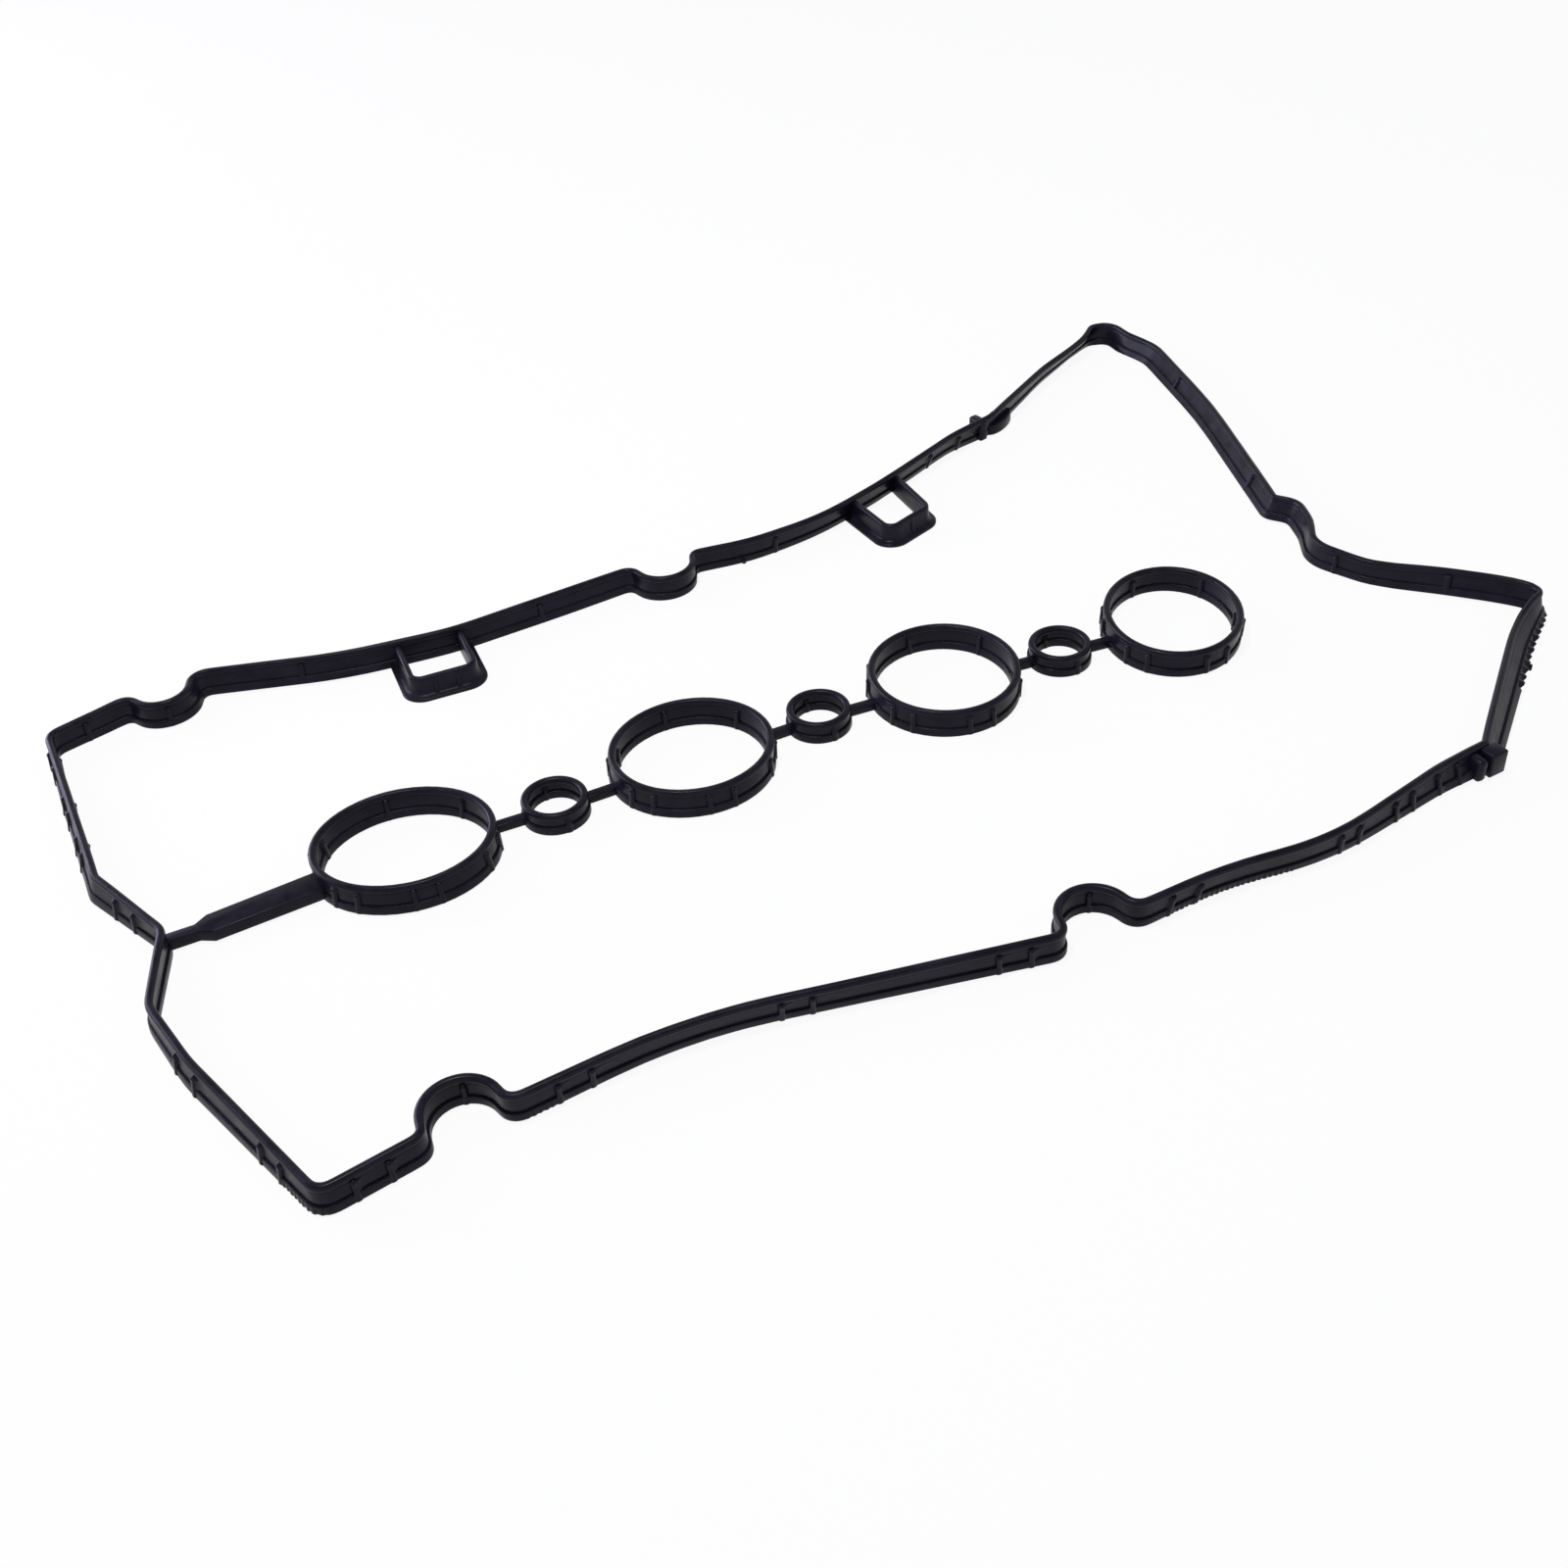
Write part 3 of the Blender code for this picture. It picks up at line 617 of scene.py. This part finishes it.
for count, (corners, low_ribs) in enumerate(LOOPS, 1):
    first, second, third, fourth = (complex(*at) for at in corners[::-1])
    bends = fillet(first, second, third, LOOP_RADIUS) + fillet(second, third, fourth, LOOP_RADIUS)
    line = np.array([first, *bends, fourth])
    travelled = np.concatenate([[0], np.cumsum(abs(np.diff(line)))])
    even = np.arange(0, travelled[-1], LOOP_STEP)
    line = np.interp(even, travelled, line)
    heading = np.gradient(line)
    outwards = 1j * heading / abs(heading)
    across, rise = np.array(LOOP_SKIN).T
    reach = np.repeat(across[None], len(even), 0)
    outer_face = (across > 1.0) & (across < 1.7) & (rise > 1.8) & (rise < 5.3)
    for rib in low_ribs:
        gap = even - even[int(np.argmin(abs(line - complex(*rib))))]
        proud = LOOP_RIB_REACH * np.clip(1 - (gap / LOOP_RIB_HALF) ** 4, 0, 1) ** 0.25
        reach = reach + proud[:, None] * outer_face[None]
    plan = line[:, None] + outwards[:, None] * reach
    corners_at = np.stack(
        [plan.real + SHIFT[0], plan.imag + SHIFT[1], np.repeat(rise[None], len(even), 0)], -1
    )
    number = np.arange(reach.size).reshape(reach.shape)
    beside = np.roll(number, -1, 1)
    faces = np.stack([number[:-1], number[1:], beside[1:], beside[:-1]], -1).reshape(-1, 4).tolist()
    faces += [number[0].tolist(), number[-1].tolist()]
    mesh = bpy.data.meshes.new(f"port_loop_{count}")
    mesh.from_pydata((corners_at * MM).reshape(-1, 3).tolist(), [], faces)
    loop = bpy.data.objects.new(f"port_loop_{count}", mesh)
    bpy.context.scene.collection.objects.link(loop)
    smooth_faces_out(loop, 45)
    is_rubber(loop)

# Blocks at the joints of the mould
# Short solid blocks across the wall where the mould's halves close: one at the back with a half oval pad
# beside it, two at the front right corner, and two low pips.
BLOCK_BOTTOM = 0.2
# Name, plan point near the wall, length along the wall, reach across it, height and edge radius.
BLOCKS = (
    ("back_block", (264.4, 150.0), 3.8, 7.2, 8.4, 0.9),
    ("front_block_left", (293.6, -106.6), 3.4, 5.8, 7.4, 1.3),
    ("front_block_right", (299.8, -106.0), 6.2, 5.2, 8.0, 0.6),
    ("back_pip", (148.0, 108.4), 1.4, 5.4, 1.6, 0.3),
    ("right_pip", (343.0, -69.4), 1.8, 4.1, 1.8, 0.4),
)


def across_wall(at):
    """The nearest point of the wall's way, and the direction outwards there."""
    near = nearest(way, at)
    step = way[(near + 4) % len(way)] - way[near - 4]
    return way[near], atan2(step[1], step[0]) + pi / 2


for name, at, length, reach, height, edge in BLOCKS:
    foot, turn = across_wall(at)
    is_rubber(block(name, *foot, BLOCK_BOTTOM, (reach, length, height), turn, edge))

# The pad is a low oval whose outer half lies inside the wall: its middle stands this far inside the wall's.
PAD_AT, PAD_LENGTH, PAD_REACH, PAD_HEIGHT, PAD_EDGE = (275.2, 155.8), 18.4, 4.0, 4.2, 0.5
PAD_INSIDE = 0.7

foot, turn = across_wall(PAD_AT)
middle = foot - PAD_INSIDE * np.array([cos(turn), sin(turn)])
bpy.ops.object.select_all(action="DESELECT")
bpy.ops.mesh.primitive_cylinder_add(
    vertices=48, radius=0.5, depth=1, location=in_frame(*middle, BLOCK_BOTTOM + PAD_HEIGHT / 2),
    rotation=(0, 0, turn), scale=Vector((2 * PAD_REACH, PAD_LENGTH, PAD_HEIGHT)) * MM,
)
pad = bpy.context.object
pad.name = "back_pad"
bpy.ops.object.transform_apply(location=True, rotation=True, scale=True)
softened(pad, PAD_EDGE)
is_rubber(pad)

# Floor, light and background
# A white table top in front of a white backdrop, under a dim ceiling. A soft lamp hangs above the camera,
# and a low one from the back left puts the violet sheen on the walls that turn that way.
bpy.ops.object.select_all(action="DESELECT")
bpy.ops.mesh.primitive_plane_add(size=6, location=(0, 0, -0.00005))
floor = bpy.context.object
floor.name = "floor"
bpy.ops.object.transform_apply(location=True, rotation=True, scale=True)


def as_background(tree):
    """1 where the camera, or a reflection or a clear piece, looks at the background."""
    camera_ray, glossy_ray, clear_ray = (
        node(tree, "ShaderNodeLightPath", {}, {}, f"Is {kind} Ray")
        for kind in ("Camera", "Glossy", "Transmission")
    )
    clamped = {"operation": "ADD", "use_clamp": True}
    return node(tree, "ShaderNodeMath", clamped, {0: camera_ray + glossy_ray, 1: clear_ray})


paper = bpy.data.materials.new("white_table")
paper.use_nodes = True
tree = paper.node_tree
tree.nodes.clear()
matt = node(tree, "ShaderNodeBsdfDiffuse", {}, {"Color": (0.88, 0.89, 0.90, 1)})
white = node(tree, "ShaderNodeEmission", {}, {"Color": (1, 1, 1, 1), "Strength": 1.0})
surface(tree, node(tree, "ShaderNodeMixShader", {}, {0: as_background(tree) * 0.92, 1: matt, 2: white}))
floor.data.materials.append(paper)

# Name, place, side in metres, power in watts and colour. Each looks at the middle of the gasket.
LAMPS = (
    ("overhead", (-0.152, -0.016, 0.90), 0.18, 4.2, (1.0, 0.98, 0.94)),
    ("back_left", (-0.80, 0.85, 0.28), 0.80, 14.5, (0.74, 0.72, 1.0)),
)
for name, place, side, power, tint in LAMPS:
    bpy.ops.object.light_add(type="AREA", location=place)
    lamp = bpy.context.object
    lamp.name = name
    lamp.data.size = side
    lamp.data.energy = power
    lamp.data.color = tint
    lamp.rotation_euler = (-Vector(place)).to_track_quat("-Z", "Y").to_euler()
    lamp.visible_camera = False

world = bpy.data.worlds.new("bright_room")
bpy.context.scene.world = world
world.use_nodes = True
tree = world.node_tree
tree.nodes.clear()
room = node(tree, "ShaderNodeBackground", {}, {"Color": (0.88, 0.90, 1.0, 1), "Strength": 0.45})
direction = node(tree, "ShaderNodeTexCoord", {}, {}, "Generated")
upward = node(tree, "ShaderNodeSeparateXYZ", {}, {0: direction}, 2)
above = node(
    tree, "ShaderNodeMapRange", {"interpolation_type": "SMOOTHSTEP"},
    {"Value": upward, "From Min": 0.30, "From Max": 0.60, "To Min": 1.0, "To Max": 0.3},
)
backdrop = node(tree, "ShaderNodeBackground", {}, {"Color": (1, 1, 1, 1), "Strength": above})
share = node(tree, "ShaderNodeMixShader", {}, {0: as_background(tree), 1: room, 2: backdrop})
surface(tree, share, "ShaderNodeOutputWorld")
bpy.context.scene.view_settings.view_transform = "Standard"
